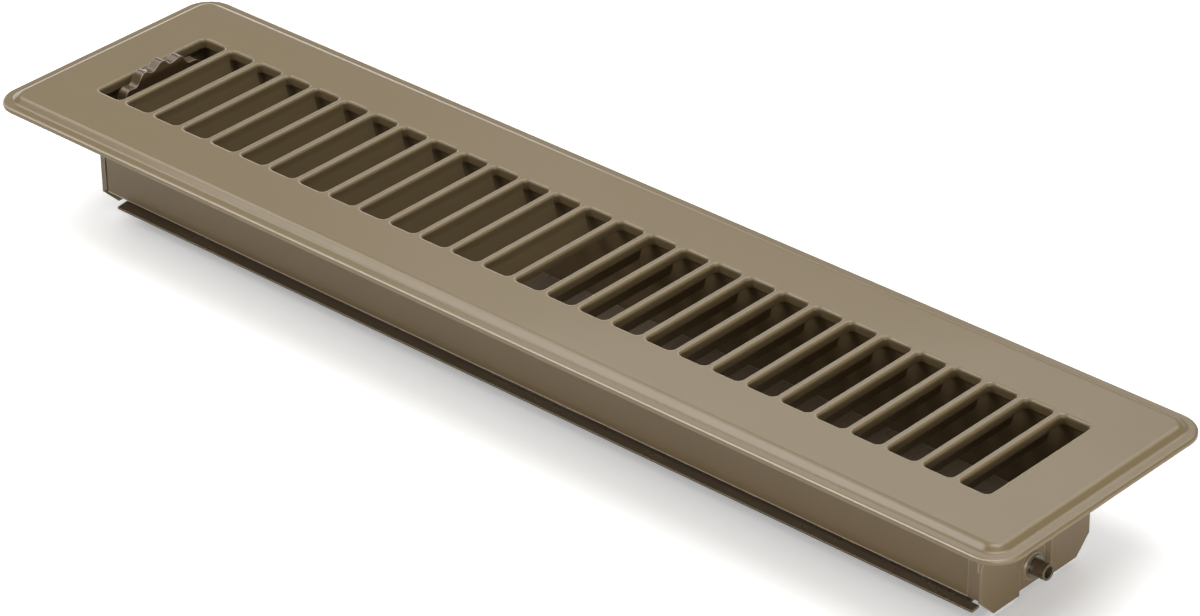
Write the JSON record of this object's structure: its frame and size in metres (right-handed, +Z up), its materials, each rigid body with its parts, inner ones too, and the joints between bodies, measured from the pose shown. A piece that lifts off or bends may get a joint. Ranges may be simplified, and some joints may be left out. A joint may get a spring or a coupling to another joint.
{
  "type": "floor register",
  "caption": "Stamped steel floor register with a louvred faceplate, a damper box, a tilting damper blade and a thumb wheel.",
  "frame": {"origin": "centre of the plane that the faceplate's rim rests on, which is the floor's surface", "axes": "+Z up out of the floor, +X along the row of slots away from the thumb wheel, +Y across the width"},
  "size_m": [0.3956, 0.093, 0.0447],
  "materials": {
    "painted_face": "satin taupe paint",
    "painted_box": "satin taupe paint",
    "dark_blade": "dark satin finish",
    "painted_wheel": "satin taupe paint, worn on the crests",
    "bright_steel": "bright zinc"
  },
  "bodies": {
    "housing": {"faceplate": "painted_face", "near_side_wall": "painted_box", "far_side_wall": "painted_box", "left_end_plate": "painted_box", "right_end_plate": "painted_box", "wheel_axle": "bright_steel", "friction_washer": "bright_steel"},
    "damper": {"damper_blade": "dark_blade", "drive_stud": "bright_steel", "left_pivot_retainer": "bright_steel", "right_pivot_retainer": "bright_steel"},
    "wheel": {"thumbwheel": "painted_wheel"}
  },
  "joints": [
    {"name": "damper_hinge", "type": "hinge", "parent": "housing", "child": "damper", "pos_m": [0, 0, -0.0314], "axis": [1, 0, 0], "range_deg": [0, 60]},
    {"name": "wheel_hinge", "type": "hinge", "parent": "housing", "child": "wheel", "pos_m": [-0.17, 0, -0.018], "axis": [1, 0, 0], "range_deg": [-30.83, 0]}
  ],
  "couplings": [
    {"joint": "wheel_hinge", "follows": "damper_hinge", "ratio": -0.5137}
  ]
}
